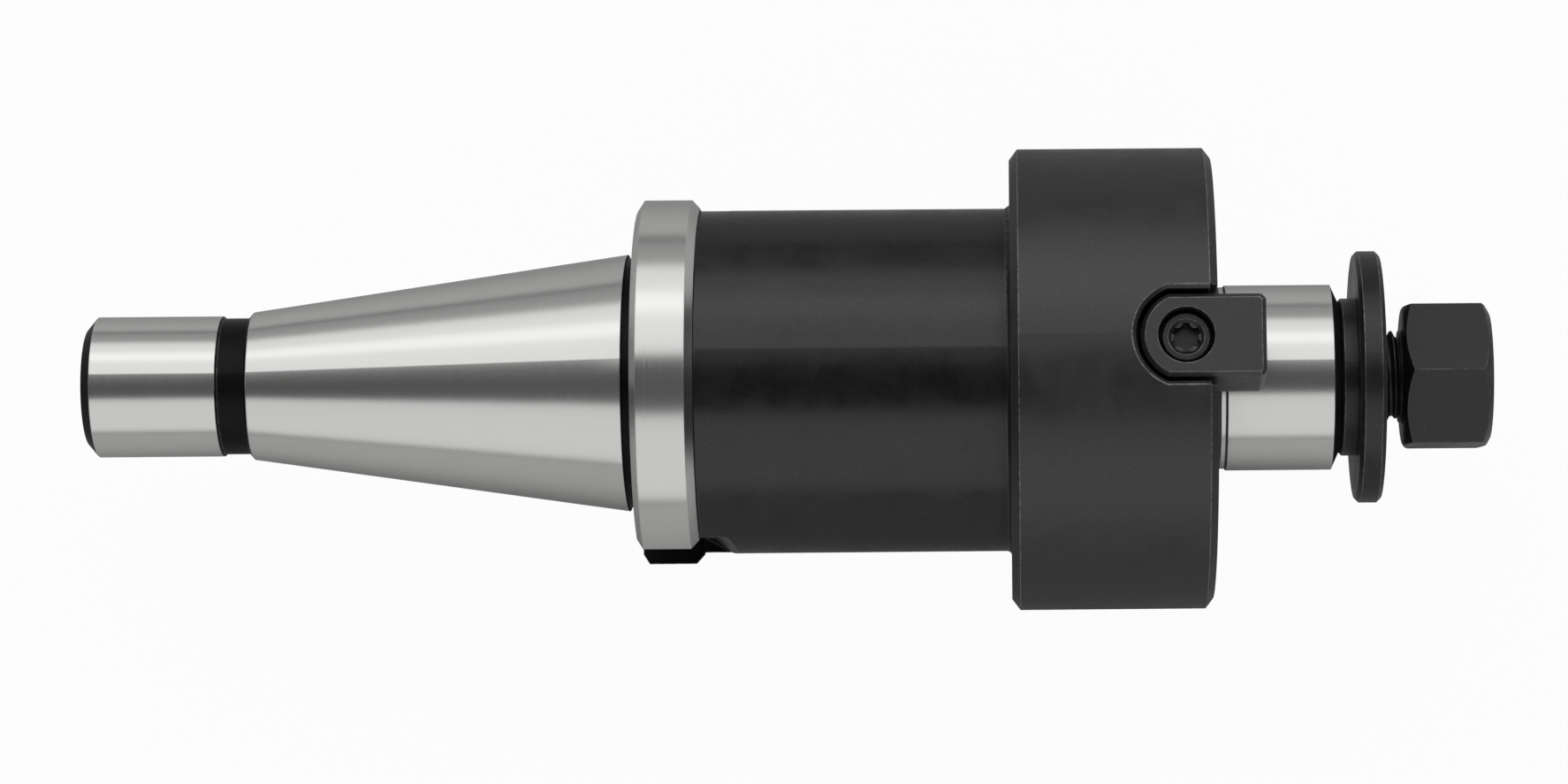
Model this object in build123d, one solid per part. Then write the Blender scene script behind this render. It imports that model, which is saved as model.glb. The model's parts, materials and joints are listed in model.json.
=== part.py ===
from build123d import *
import math
import os

# Shell mill arbor with a 7:24 taper shank, size 40. Millimetres.
# The axis runs along +X, from the drawbar end to the cutter end. The origin is the centre of the gauge
# plane, where the taper measures gauge_diameter. The drive keys face +Z and -Z, the flange slots +Y and -Y.

# Shank
gauge_diameter = 44.45
taper_per_length = 7 / 24
taper_length = 65.4
taper_edge_chamfer = 0.5
shank_length = 93.4
drawbar_pilot_diameter = 24.2
drawbar_pilot_chamfer_length = 1.7
drawbar_pilot_chamfer_depth = 2.0
drawbar_groove_diameter = 23.5
drawbar_groove_width = 4.5
groove_edge_chamfer = 0.4

# Drawbar hole
drawbar_thread_diameter = 16.0
drawbar_thread_length = 34.0
drawbar_counterbore_diameter = 17.0
drawbar_counterbore_depth = 6.0
drawbar_mouth_diameter = 19.4
drawbar_mouth_angle = 60.0
drill_point_angle = 118.0

# Driving flange
flange_diameter = 63.0
flange_offset = 1.6
flange_thickness = 10.65
flange_rear_chamfer_length = 1.1
flange_rear_chamfer_depth = 1.7
flange_front_chamfer_length = 1.4
flange_front_chamfer_depth = 1.5
relief_diameter = 43.0
relief_overlap = 0.4
drive_slot_width = 16.1
drive_slot_floor = 22.5
drive_slot_cutter_diameter = 80.0
drive_slot_cutter_setback = 6.7

# Neck and head
neck_diameter = 59.2
neck_rear_fillet = 0.3
neck_front_fillet = 0.8
projection_length = 100.0
head_diameter = 79.6
head_length = 34.6
head_rear_chamfer_length = 1.4
head_rear_chamfer_depth = 1.9
head_front_chamfer_length = 1.3
head_front_chamfer_depth = 1.7

# Cutter pilot
pilot_diameter = 32.0
pilot_length = 22.0
pilot_nose_chamfer_length = 1.4
pilot_nose_chamfer_depth = 3.1
pilot_relief_width = 2.4
pilot_relief_depth = 0.3

# Drive keys and their slots
key_width = 14.0
key_end_radius = 7.6
key_projection = 8.0
key_length = 20.9
key_height = 14.0
key_face_inset = 1.5
key_face_chamfer = 0.7
key_corner_chamfer = 0.8
key_slot_clearance = 1.5
key_count = 2

# Key screws, M5
key_screw_diameter = 5.0
key_screw_length = 16.0
key_screw_head_diameter = 8.5
key_screw_head_height = 5.0
key_screw_head_chamfer = 0.4
key_screw_tip_chamfer = 0.5
key_screw_recess = 2.0
key_screw_hole_diameter = 5.5
key_counterbore_diameter = 9.5
key_thread_depth = 10.0
socket_diameter = 4.9
socket_inner_diameter = 4.0
socket_lobe_radius = 0.85
socket_lobe_count = 6
socket_depth = 3.0
socket_bevel_diameter = 6.1
socket_bevel_depth = 0.5

# Clamping washer
washer_hub_diameter = 27.2
washer_hub_thickness = 2.6
washer_hub_chamfer = 0.4
washer_disc_diameter = 43.5
washer_disc_thickness = 4.4
washer_disc_chamfer = 0.7
washer_bore_diameter = 17.0
washer_end_clearance = 0.1

# Clamping screw, M16
clamp_thread_diameter = 16.0
clamp_screw_length = 40.0
clamp_screw_tip_chamfer = 1.2
clamp_screw_neck_fillet = 0.7
clamp_head_gap = 4.0
clamp_head_height = 15.0
clamp_head_across_flats = 24.0
clamp_head_turn = 36.0
clamp_head_bearing_diameter = 23.4
clamp_head_end_diameter = 21.9
clamp_head_chamfer_angle = 30.0
clamp_hole_depth = 42.0
clamp_hole_mouth_chamfer = 1.0

# Fits
thread_clearance = 0.05
cut_overrun = 5.0

# Places along the axis, worked out from the sizes
rear_end = -shank_length
flange_rear = flange_offset
flange_front = flange_rear + flange_thickness
head_front = projection_length
head_rear = head_front - head_length
pilot_front = head_front + pilot_length
key_front = head_front + key_projection
key_screw_place = key_front - key_length + key_end_radius
key_face_height = head_diameter / 2 - key_face_inset
key_seat_height = key_face_height - key_height
washer_rear = pilot_front + washer_end_clearance
washer_step = washer_rear + washer_hub_thickness
washer_front = washer_step + washer_disc_thickness
clamp_head_rear = washer_front + clamp_head_gap
clamp_head_front = clamp_head_rear + clamp_head_height
clamp_screw_tip = clamp_head_rear - clamp_screw_length


def taper_radius(x):
    """Radius of the 7:24 cone at a place on the axis."""
    return (gauge_diameter + taper_per_length * x) / 2


def turned(points):
    """Solid of revolution about the axis, from the (place, radius) corners of half its section."""
    section = make_face(Polyline(*[(x, r) for x, r in points], close=True))
    return revolve(Plane.XZ * section, Axis.X)


def shank_outline():
    """Corners of the shank's outer profile, from the drawbar end to the flange's rear face."""
    pilot = drawbar_pilot_diameter / 2
    groove = drawbar_groove_diameter / 2
    small_end = -taper_length
    groove_rear = small_end - drawbar_groove_width
    edge = taper_edge_chamfer
    return [
        (rear_end, pilot - drawbar_pilot_chamfer_depth),
        (rear_end + drawbar_pilot_chamfer_length, pilot),
        (groove_rear - groove_edge_chamfer, pilot),
        (groove_rear, groove),
        (small_end, groove),
        (small_end, taper_radius(small_end) - edge),
        (small_end + edge, taper_radius(small_end + edge)),
        (-relief_overlap, taper_radius(-relief_overlap)),
        (-relief_overlap, relief_diameter / 2),
        (flange_rear, relief_diameter / 2),
    ]


def flange_outline():
    """Corners of the flange's outer profile, from its rear face to the neck."""
    rim = flange_diameter / 2
    return [
        (flange_rear, rim - flange_rear_chamfer_depth),
        (flange_rear + flange_rear_chamfer_length, rim),
        (flange_front - flange_front_chamfer_length, rim),
        (flange_front, rim - flange_front_chamfer_depth),
        (flange_front, neck_diameter / 2),
    ]


def head_outline():
    """Corners of the head and the cutter pilot, from the neck to the pilot's end face."""
    head = head_diameter / 2
    pilot = pilot_diameter / 2
    return [
        (head_rear, neck_diameter / 2),
        (head_rear, head - head_rear_chamfer_depth),
        (head_rear + head_rear_chamfer_length, head),
        (head_front - head_front_chamfer_length, head),
        (head_front, head - head_front_chamfer_depth),
        (head_front, pilot - pilot_relief_depth),
        (head_front + pilot_relief_width - pilot_relief_depth, pilot - pilot_relief_depth),
        (head_front + pilot_relief_width, pilot),
        (pilot_front - pilot_nose_chamfer_length, pilot),
        (pilot_front, pilot - pilot_nose_chamfer_depth),
    ]


def arbor_blank():
    """The turned arbor with its neck fillets and no holes or slots."""
    corners = [(rear_end, 0)] + shank_outline() + flange_outline() + head_outline()
    corners.append((pilot_front, 0))
    section = make_face(Polyline(*corners, close=True))
    for place, radius in ((flange_front, neck_rear_fillet), (head_rear, neck_front_fillet)):
        inner_corner = Vertex(place, neck_diameter / 2, 0)
        nearest = section.vertices().sort_by_distance(inner_corner)[0]
        section = fillet(nearest, radius)
    return revolve(Plane.XZ * section, Axis.X)


def drawbar_hole():
    """Centre mouth, counterbore and tapped hole in the drawbar end."""
    mouth = drawbar_mouth_diameter / 2
    counterbore = drawbar_counterbore_diameter / 2
    thread = drawbar_thread_diameter / 2
    mouth_slope = math.tan(math.radians(drawbar_mouth_angle / 2))
    mouth_end = rear_end + (mouth - counterbore) / mouth_slope
    thread_start = rear_end + drawbar_counterbore_depth
    thread_end = thread_start + drawbar_thread_length
    point = thread / math.tan(math.radians(drill_point_angle / 2))
    return turned(
        [
            (rear_end - cut_overrun, 0),
            (rear_end - cut_overrun, mouth + cut_overrun * mouth_slope),
            (mouth_end, counterbore),
            (thread_start, counterbore),
            (thread_start, thread),
            (thread_end, thread),
            (thread_end + point, 0),
        ]
    )


def clamp_hole():
    """Tapped hole for the clamping screw, with a chamfered mouth."""
    thread = clamp_thread_diameter / 2
    bottom = pilot_front - clamp_hole_depth
    point = thread / math.tan(math.radians(drill_point_angle / 2))
    return turned(
        [
            (bottom - point, 0),
            (bottom, thread),
            (pilot_front - clamp_hole_mouth_chamfer, thread),
            (pilot_front + cut_overrun, thread + clamp_hole_mouth_chamfer + cut_overrun),
            (pilot_front + cut_overrun, 0),
        ]
    )


def drive_slot():
    """Slot through the flange on the +Y side, left by a disc cutter that runs out in the neck."""
    radius = drive_slot_cutter_diameter / 2
    height = drive_slot_floor + math.sqrt(radius**2 - drive_slot_cutter_setback**2)
    return Pos(flange_rear - drive_slot_cutter_setback, height) * Cylinder(radius, drive_slot_width)


def key_plan(half_width, end_radius, front):
    """Outline of a key or of its slot, seen along +Z: round at the rear, chamfered corners in front."""
    setback = math.sqrt(end_radius**2 - half_width**2)
    corner = key_corner_chamfer
    sides = Polyline(
        (key_screw_place - setback, -half_width),
        (front - corner, -half_width),
        (front, corner - half_width),
        (front, half_width - corner),
        (front - corner, half_width),
        (key_screw_place - setback, half_width),
    )
    end = ThreePointArc(sides @ 1, (key_screw_place - end_radius, 0), sides @ 0)
    return make_face([sides, end])


def key_slot():
    """U-shaped slot for the key on the +Z side, open at the head's face."""
    half = key_width / 2 + key_slot_clearance
    plan = key_plan(half, key_end_radius + key_slot_clearance, head_front + cut_overrun)
    depth = head_diameter / 2 + cut_overrun - key_seat_height
    return extrude(Plane.XY.offset(key_seat_height) * plan, depth)


def key_thread_hole():
    """Tapped hole for the key screw on the +Z side."""
    radius = key_screw_diameter / 2 + thread_clearance
    place = Plane((key_screw_place, 0, key_seat_height), z_dir=(0, 0, -1))
    return extrude(place * Circle(radius), key_thread_depth)


def around(tool, count, step):
    """Copies of a solid turned about the axis."""
    return [Rot(X=step * i) * tool for i in range(count)]


def arbor_body():
    """The arbor itself, with its holes, flange slots and key slots."""
    body = arbor_blank() - drawbar_hole() - clamp_hole()
    for copy in around(drive_slot(), 2, 180):
        body -= copy
    for tool in (key_slot(), key_thread_hole()):
        for copy in around(tool, key_count, 360 / key_count):
            body -= copy
    return body


def drive_key():
    """Drive key on the +Z side, round at the rear, chamfered round its face, with a counterbored hole."""
    plan = Plane.XY.offset(key_seat_height) * key_plan(key_width / 2, key_end_radius, key_front)
    straight_height = key_height - key_face_chamfer
    key = extrude(plan, straight_height) + extrude(Pos(0, 0, straight_height) * plan, key_face_chamfer, taper=45)
    hole_top = Pos(key_screw_place, 0, key_face_height)
    counterbore_depth = key_screw_recess + key_screw_head_height
    key -= hole_top * Cylinder(
        key_counterbore_diameter / 2, 2 * counterbore_depth, align=(Align.CENTER, Align.CENTER, Align.CENTER)
    )
    key -= hole_top * Cylinder(key_screw_hole_diameter / 2, 3 * key_height)
    return key


def socket():
    """Six-lobed socket with a bevelled mouth, its mouth on the XY plane and its floor below."""
    lobes = Circle(socket_diameter / 2)
    for place in PolarLocations(socket_inner_diameter / 2 + socket_lobe_radius, socket_lobe_count):
        lobes -= place * Circle(socket_lobe_radius)
    hole = extrude(lobes, -socket_depth)
    mouth = Cone(
        socket_diameter / 2,
        socket_bevel_diameter / 2,
        socket_bevel_depth,
        align=(Align.CENTER, Align.CENTER, Align.MAX),
    )
    return hole + mouth


def key_screw():
    """Cap screw that holds the +Z key, its head recessed in the key's counterbore."""
    head_top = key_face_height - key_screw_recess
    down = (Align.CENTER, Align.CENTER, Align.MAX)
    head = Cylinder(key_screw_head_diameter / 2, key_screw_head_height, align=down)
    head = chamfer(head.edges().group_by(Axis.Z)[-1], key_screw_head_chamfer)
    shank = Cylinder(key_screw_diameter / 2, key_screw_length, align=down)
    shank = chamfer(shank.edges().group_by(Axis.Z)[0], key_screw_tip_chamfer)
    screw = head + Pos(0, 0, -key_screw_head_height) * shank - socket()
    return Pos(key_screw_place, 0, head_top) * screw


def clamp_washer():
    """Stepped washer: a small hub that faces the pilot's end and a wide disc."""
    bore = washer_bore_diameter / 2
    hub = washer_hub_diameter / 2
    disc = washer_disc_diameter / 2
    edge = washer_disc_chamfer
    return turned(
        [
            (washer_rear, bore),
            (washer_rear, hub - washer_hub_chamfer),
            (washer_rear + washer_hub_chamfer, hub),
            (washer_step, hub),
            (washer_step, disc - edge),
            (washer_step + edge, disc),
            (washer_front - edge, disc),
            (washer_front, disc - edge),
            (washer_front, bore),
        ]
    )


def clamp_screw():
    """Hexagon screw: plain shank at the thread's outer diameter, and a head chamfered at both ends."""
    shank = clamp_thread_diameter / 2 - thread_clearance
    neck = clamp_screw_neck_fillet
    corner = clamp_head_across_flats / math.sqrt(3)
    slope = math.tan(math.radians(clamp_head_chamfer_angle))
    bearing = clamp_head_bearing_diameter / 2
    end = clamp_head_end_diameter / 2
    hexagon = RegularPolygon(clamp_head_across_flats / 2, 6, major_radius=False)
    blank = extrude(Plane.YZ.offset(clamp_head_rear) * hexagon, clamp_head_height)
    envelope = turned(
        [
            (clamp_head_rear, 0),
            (clamp_head_rear, bearing),
            (clamp_head_rear + (corner - bearing) * slope, corner),
            (clamp_head_front - (corner - end) * slope, corner),
            (clamp_head_front, end),
            (clamp_head_front, 0),
        ]
    )
    head = blank & envelope
    stem = turned(
        [
            (clamp_screw_tip, 0),
            (clamp_screw_tip, shank - clamp_screw_tip_chamfer),
            (clamp_screw_tip + clamp_screw_tip_chamfer, shank),
            (clamp_head_rear, shank),
            (clamp_head_rear, 0),
        ]
    )
    screw = head + stem
    root = [
        e
        for e in screw.edges().filter_by(GeomType.CIRCLE)
        if abs(e.center().X - clamp_head_rear) < thread_clearance and abs(e.radius - shank) < thread_clearance
    ]
    screw = fillet(root, neck)
    return Rot(X=clamp_head_turn) * screw


def write(name, solid):
    """One STEP file for each node."""
    solid.label = name
    export_step(solid, f"parts/{name}.step")


os.makedirs("parts", exist_ok=True)
write("arbor_body", arbor_body())
for number, (key, screw) in enumerate(
    zip(around(drive_key(), key_count, 360 / key_count), around(key_screw(), key_count, 360 / key_count)), 1
):
    write(f"drive_key_{number}", key)
    write(f"key_screw_{number}", screw)
write("clamp_washer", clamp_washer())
write("clamp_screw", clamp_screw())
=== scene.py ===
"""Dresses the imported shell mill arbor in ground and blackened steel, and adds floor, lamps and camera."""

import json
import math

import bmesh
import bpy
from bpy.props import FloatProperty, FloatVectorProperty, IntProperty, PointerProperty
from mathutils import Matrix, Vector


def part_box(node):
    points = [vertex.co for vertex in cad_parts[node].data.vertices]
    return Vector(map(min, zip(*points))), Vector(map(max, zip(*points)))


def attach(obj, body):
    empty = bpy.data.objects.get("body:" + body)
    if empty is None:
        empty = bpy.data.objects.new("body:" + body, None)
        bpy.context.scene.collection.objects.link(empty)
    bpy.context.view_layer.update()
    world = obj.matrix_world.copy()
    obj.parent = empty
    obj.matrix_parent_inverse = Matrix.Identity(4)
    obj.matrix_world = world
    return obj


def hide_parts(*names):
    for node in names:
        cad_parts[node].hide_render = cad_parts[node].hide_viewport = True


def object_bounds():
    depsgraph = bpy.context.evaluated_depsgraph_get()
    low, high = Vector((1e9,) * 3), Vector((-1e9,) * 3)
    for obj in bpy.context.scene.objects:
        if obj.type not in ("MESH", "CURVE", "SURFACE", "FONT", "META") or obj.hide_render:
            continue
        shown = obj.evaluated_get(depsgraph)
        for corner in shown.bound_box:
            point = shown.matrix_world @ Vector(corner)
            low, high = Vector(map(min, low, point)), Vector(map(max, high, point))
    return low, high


bl_info = {
    "name": "Shell Mill Arbor",
    "version": (1, 0, 0),
    "blender": (4, 5, 0),
    "location": "View3D > Sidebar > Arbor",
    "description": "Finishes a packed shell mill arbor in ground and blackened steel and lights it",
    "category": "Object",
}

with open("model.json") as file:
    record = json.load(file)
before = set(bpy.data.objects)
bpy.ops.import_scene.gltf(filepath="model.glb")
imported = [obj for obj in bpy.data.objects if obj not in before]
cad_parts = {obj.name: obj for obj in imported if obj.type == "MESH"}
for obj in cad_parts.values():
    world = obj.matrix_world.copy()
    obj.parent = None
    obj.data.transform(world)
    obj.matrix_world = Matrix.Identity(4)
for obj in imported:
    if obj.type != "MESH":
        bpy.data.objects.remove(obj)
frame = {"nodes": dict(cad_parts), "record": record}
cad_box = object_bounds()
millimetre = 0.001
plain_white = (1.0, 1.0, 1.0, 1.0)
mounts = {mount["name"]: mount for mount in frame["record"]["mounts"]}
body_low, body_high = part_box("arbor_body")
screw_low, screw_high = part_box("clamp_screw")
head_front = mounts["cutter_seat"]["pos_m"][0]
flange_rear = mounts["drive_slots"]["pos_m"][0]


class ArborFinish(bpy.types.PropertyGroup):
    """Colours and surface qualities."""

    steel_colour: FloatVectorProperty(
        name="Ground Steel", description="Bare ground steel", subtype="COLOR", default=(0.66, 0.655, 0.645)
    )
    oxide_colour: FloatVectorProperty(
        name="Black Oxide", description="Blackened head and bores", subtype="COLOR",
        default=(0.068, 0.067, 0.068),
    )
    neck_colour: FloatVectorProperty(
        name="Neck Black", description="Smoother black of the neck", subtype="COLOR",
        default=(0.050, 0.050, 0.052),
    )
    # Painted shade: a near-black that darkens the shank's unground chamfer and grooves and the flange slots
    # far below the oxide.
    painted_groove_shade_colour: FloatVectorProperty(
        name="Groove Black", description="Deep black of the shank's grooves and of the flange slots",
        subtype="COLOR", default=(0.010, 0.010, 0.010),
    )
    key_colour: FloatVectorProperty(
        name="Key Black", description="Blackened drive keys", subtype="COLOR", default=(0.070, 0.070, 0.072)
    )
    screw_colour: FloatVectorProperty(
        name="Screw Black", description="Blackened screws and washer", subtype="COLOR",
        default=(0.045, 0.045, 0.047),
    )
    # Bare steel on rubbed edges; the same light colour also paints a highlight along the edges.
    worn_and_highlight_colour: FloatVectorProperty(
        name="Worn Edge", description="Steel that shows where the black is rubbed", subtype="COLOR",
        default=(0.46, 0.45, 0.44),
    )
    steel_roughness: FloatProperty(
        name="Steel Roughness", description="Ground steel", default=0.23, min=0, max=1
    )
    oxide_roughness: FloatProperty(
        name="Oxide Roughness", description="Black oxide", default=0.44, min=0, max=1
    )
    neck_roughness: FloatProperty(
        name="Neck Roughness", description="Smoother neck", default=0.29, min=0, max=1
    )
    oxide_metallic: FloatProperty(
        name="Oxide Metallic", description="How metallic the arbor body's black is, except on the neck",
        default=0.82, min=0, max=1,
    )
    neck_metallic: FloatProperty(
        name="Neck Metallic", description="How metallic the black neck is", default=0.93, min=0, max=1
    )
    grazing: FloatProperty(
        name="Grazing Light", description="Share of light the arbor body keeps at a grazing angle",
        default=0.7, min=0, max=1,
    )
    # Strength of the edge mask: partly real rubbed wear, partly a painted edge highlight.
    wear_and_highlight: FloatProperty(
        name="Edge Wear", description="How bright the rubbed edges are", default=0.9, min=0, max=1
    )


class ArborZones(bpy.types.PropertyGroup):
    """Where ground steel meets black oxide."""

    pilot_chamfer: FloatProperty(
        name="Drawbar Chamfer", description="Black chamfer at the drawbar end", unit="LENGTH",
        default=0.0017,
    )
    pilot_length: FloatProperty(
        name="Drawbar Pilot", description="Drawbar end to the groove", unit="LENGTH", default=0.0231
    )
    taper_length: FloatProperty(
        name="Taper", description="Gauge plane to the taper's small end", unit="LENGTH", default=0.0650
    )
    relief_overlap: FloatProperty(
        name="Relief Overlap", description="Relief behind the gauge plane", unit="LENGTH", default=0.0004
    )
    bore_limit: FloatProperty(
        name="Bore Limit", description="The bores lie inside this radius", unit="LENGTH", default=0.0095
    )
    flange_thickness: FloatProperty(
        name="Flange", description="Flange thickness", unit="LENGTH", default=0.01065
    )
    flange_inner_radius: FloatProperty(
        name="Flange Ground Radius", description="The flange is ground outside this", unit="LENGTH",
        default=0.0297,
    )
    slot_half_width: FloatProperty(
        name="Slot Half Width", description="Black walls of the flange slots lie inside this",
        unit="LENGTH", default=0.0082,
    )
    slot_inner_radius: FloatProperty(
        name="Slot Inner Radius", description="The flange slots lie outside this", unit="LENGTH",
        default=0.019,
    )
    head_length: FloatProperty(name="Head", description="Length of the head", unit="LENGTH", default=0.0346)
    pilot_relief: FloatProperty(
        name="Pilot Relief", description="Black relief at the pilot's root", unit="LENGTH", default=0.0013
    )
    nose_chamfer: FloatProperty(
        name="Nose Chamfer", description="Black chamfer on the cutter pilot", unit="LENGTH", default=0.0014
    )


class ArborThreads(bpy.types.PropertyGroup):
    """The two M16 threads and the clamp screw's head."""

    pitch: FloatProperty(name="Pitch", description="Thread pitch", unit="LENGTH", default=0.002)
    depth: FloatProperty(name="Depth", description="Crest to root", unit="LENGTH", default=0.00112)
    shank_radius: FloatProperty(
        name="Shank Radius", description="Clamp screw's thread crest", unit="LENGTH", default=0.00795
    )
    around: IntProperty(name="Sides", description="Points round each thread", default=120, min=24)
    rings_per_turn: IntProperty(name="Rings Per Turn", description="Rings in one pitch", default=14, min=6)
    counterbore: FloatProperty(
        name="Counterbore", description="Drawbar end to its first thread", unit="LENGTH", default=0.006
    )
    across_flats: FloatProperty(
        name="Across Flats", description="Hexagon of the clamp screw", unit="LENGTH", default=0.024
    )
    head_height: FloatProperty(
        name="Head Height", description="Clamp screw's head", unit="LENGTH", default=0.015
    )
    head_fillet: FloatProperty(
        name="Head Fillet", description="Rounding under the clamp screw's head", unit="LENGTH",
        default=0.0007,
    )
    bearing_radius: FloatProperty(
        name="Bearing Radius", description="Flat ring under the clamp screw's head", unit="LENGTH",
        default=0.0117,
    )
    end_face_radius: FloatProperty(
        name="End Face Radius", description="Flat end of the clamp screw's head", unit="LENGTH",
        default=0.01095,
    )
    head_turn: FloatProperty(
        name="Head Turn", description="A corner's place round the axis, from +Y", subtype="ANGLE",
        default=math.radians(36),
    )


class ArborPockets(bpy.types.PropertyGroup):
    """The chamfered rim round the pocket of each drive key."""

    half_width: FloatProperty(
        name="Half Width", description="Pocket's middle to its side", unit="LENGTH", default=0.0085
    )
    end_radius: FloatProperty(
        name="End Radius", description="Pocket's round end", unit="LENGTH", default=0.0091
    )
    clearance: FloatProperty(name="Clearance", description="Key to pocket", unit="LENGTH", default=0.0015)
    chamfer: FloatProperty(
        name="Chamfer", description="Width of the rim's chamfer", unit="LENGTH", default=0.0007
    )
    depth: FloatProperty(
        name="Depth", description="How far the rim reaches in", unit="LENGTH", default=0.0040
    )
    front_gap: FloatProperty(
        name="Front Gap", description="Rim's end to the head's face", unit="LENGTH", default=0.0013
    )


class ArborStage(bpy.types.PropertyGroup):
    """Floor, lamps and camera."""

    floor_colour: FloatVectorProperty(
        name="Floor", description="Plain pale floor", subtype="COLOR", default=(0.76, 0.76, 0.76)
    )
    floor_size: FloatProperty(
        name="Floor Size", description="Side of the floor", unit="LENGTH", default=12.0
    )
    lamp_level: FloatProperty(name="Lamp Level", description="Scales every lamp", default=1.0, min=0)
    elevation: FloatProperty(
        name="Elevation", description="Camera above the horizon", subtype="ANGLE", default=math.radians(79)
    )
    distance: FloatProperty(name="Distance", description="Camera to the axis", unit="LENGTH", default=0.90)
    foot: FloatProperty(
        name="Foot", description="Where along the axis the camera stands", unit="LENGTH", default=0.066
    )
    yaw: FloatProperty(
        name="Yaw", description="Camera's turn along the arbor", subtype="ANGLE", default=math.radians(0.5)
    )
    roll: FloatProperty(
        name="Roll", description="Camera's turn in the picture", subtype="ANGLE",
        default=math.radians(-0.48),
    )
    lens: FloatProperty(name="Lens", description="Focal length in millimetres", default=119.5)
    shift_along: FloatProperty(
        name="Shift Along", description="Share of the width that the frame is shifted", default=-0.1756
    )
    shift_across: FloatProperty(
        name="Shift Across", description="The same shift, up the picture", default=-0.0080
    )


def make_node(tree, kind, inputs=None, **settings):
    """A node with its settings, and with each input linked to a socket or set to a value."""
    made = tree.nodes.new(kind)
    for name, value in settings.items():
        setattr(made, name, value)
    for name, value in (inputs or {}).items():
        if isinstance(value, bpy.types.NodeSocket):
            tree.links.new(value, made.inputs[name])
        else:
            made.inputs[name].default_value = value
    return made


def maths(tree, operation, *values, clamp=False):
    """The result of one Math node."""
    inputs = dict(enumerate(values))
    return make_node(tree, "ShaderNodeMath", inputs, operation=operation, use_clamp=clamp).outputs[0]


def mix_value(tree, factor, low, high):
    """A number between low and high."""
    return make_node(tree, "ShaderNodeMix", {0: factor, 2: low, 3: high}, data_type="FLOAT").outputs[0]


def mix_colour(tree, factor, first, second):
    """A colour between two colours."""
    inputs = {0: factor, 6: first, 7: second}
    return make_node(tree, "ShaderNodeMix", inputs, data_type="RGBA").outputs[2]


def map_range(tree, value, low, high, out_low=0.0, out_high=1.0):
    """Smoothly maps low..high to out_low..out_high, clamped."""
    inputs = {0: value, 1: low, 2: high, 3: out_low, 4: out_high}
    return make_node(tree, "ShaderNodeMapRange", inputs, interpolation_type="SMOOTHSTEP").outputs[0]


def opaque(colour, share=1.0):
    """A colour with alpha, made darker or lighter by a share."""
    return (colour[0] * share, colour[1] * share, colour[2] * share, 1.0)


def new_group(name, kind, inputs, outputs):
    """A node group with named sockets, its input node's sockets and its output node's."""
    tree = bpy.data.node_groups.new(name, kind)
    for in_out, sockets in (("INPUT", inputs), ("OUTPUT", outputs)):
        for label, socket_type, *default in sockets:
            socket = tree.interface.new_socket(label, in_out=in_out, socket_type=socket_type)
            if default:
                socket.default_value = default[0]
    return tree, tree.nodes.new("NodeGroupInput").outputs, tree.nodes.new("NodeGroupOutput").inputs


def use_group(tree, name, **inputs):
    """Places a shader node group; underscores in the keywords stand for spaces."""
    made = tree.nodes.new("ShaderNodeGroup")
    made.node_tree = bpy.data.node_groups[name]
    for key, value in inputs.items():
        socket = made.inputs[key.replace("_", " ")]
        if isinstance(value, bpy.types.NodeSocket):
            tree.links.new(value, socket)
        else:
            socket.default_value = value
    return made.outputs


def object_place(tree):
    """The place on the piece, in the object's own coordinates."""
    return make_node(tree, "ShaderNodeTexCoord").outputs["Object"]


def build_axis_place():
    """Group: the distance along the arbor's axis and out from it."""
    tree, _, out = new_group(
        "axis_place", "ShaderNodeTree", [], [("Along", "NodeSocketFloat"), ("Radius", "NodeSocketFloat")]
    )
    parts = make_node(tree, "ShaderNodeSeparateXYZ", {0: object_place(tree)}).outputs
    flat = make_node(tree, "ShaderNodeCombineXYZ", {1: parts["Y"], 2: parts["Z"]}).outputs[0]
    radius = make_node(tree, "ShaderNodeVectorMath", {0: flat}, operation="LENGTH").outputs["Value"]
    tree.links.new(parts["X"], out["Along"])
    tree.links.new(radius, out["Radius"])


def build_turned_zone():
    """Group: a mask that is 1 between two places on the axis and outside a radius, with a wavering edge."""
    tree, given, out = new_group(
        "turned_zone",
        "ShaderNodeTree",
        [("From", "NodeSocketFloat"), ("To", "NodeSocketFloat"), ("Inner Radius", "NodeSocketFloat")],
        [("Mask", "NodeSocketFloat")],
    )
    softness = 0.00006
    waver = 0.00010
    axis = use_group(tree, "axis_place")
    inputs = {"Vector": object_place(tree), "Scale": 420.0, "Detail": 2.0}
    noise = make_node(tree, "ShaderNodeTexNoise", inputs).outputs["Fac"]
    shift = maths(tree, "MULTIPLY", maths(tree, "SUBTRACT", noise, 0.5), waver)
    along = maths(tree, "ADD", axis["Along"], shift)
    after = map_range(tree, along, given["From"], maths(tree, "ADD", given["From"], softness))
    past = map_range(tree, along, maths(tree, "SUBTRACT", given["To"], softness), given["To"])
    outside = maths(tree, "GREATER_THAN", axis["Radius"], given["Inner Radius"])
    mask = maths(tree, "MULTIPLY", maths(tree, "SUBTRACT", after, past), outside, clamp=True)
    tree.links.new(mask, out["Mask"])


def grain_noise(tree, vector):
    """The noise that both kinds of machining line are drawn with."""
    inputs = {"Vector": vector, "Scale": 1.0, "Detail": 3.0, "Roughness": 0.6}
    return make_node(tree, "ShaderNodeTexNoise", inputs).outputs["Fac"]


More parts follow.
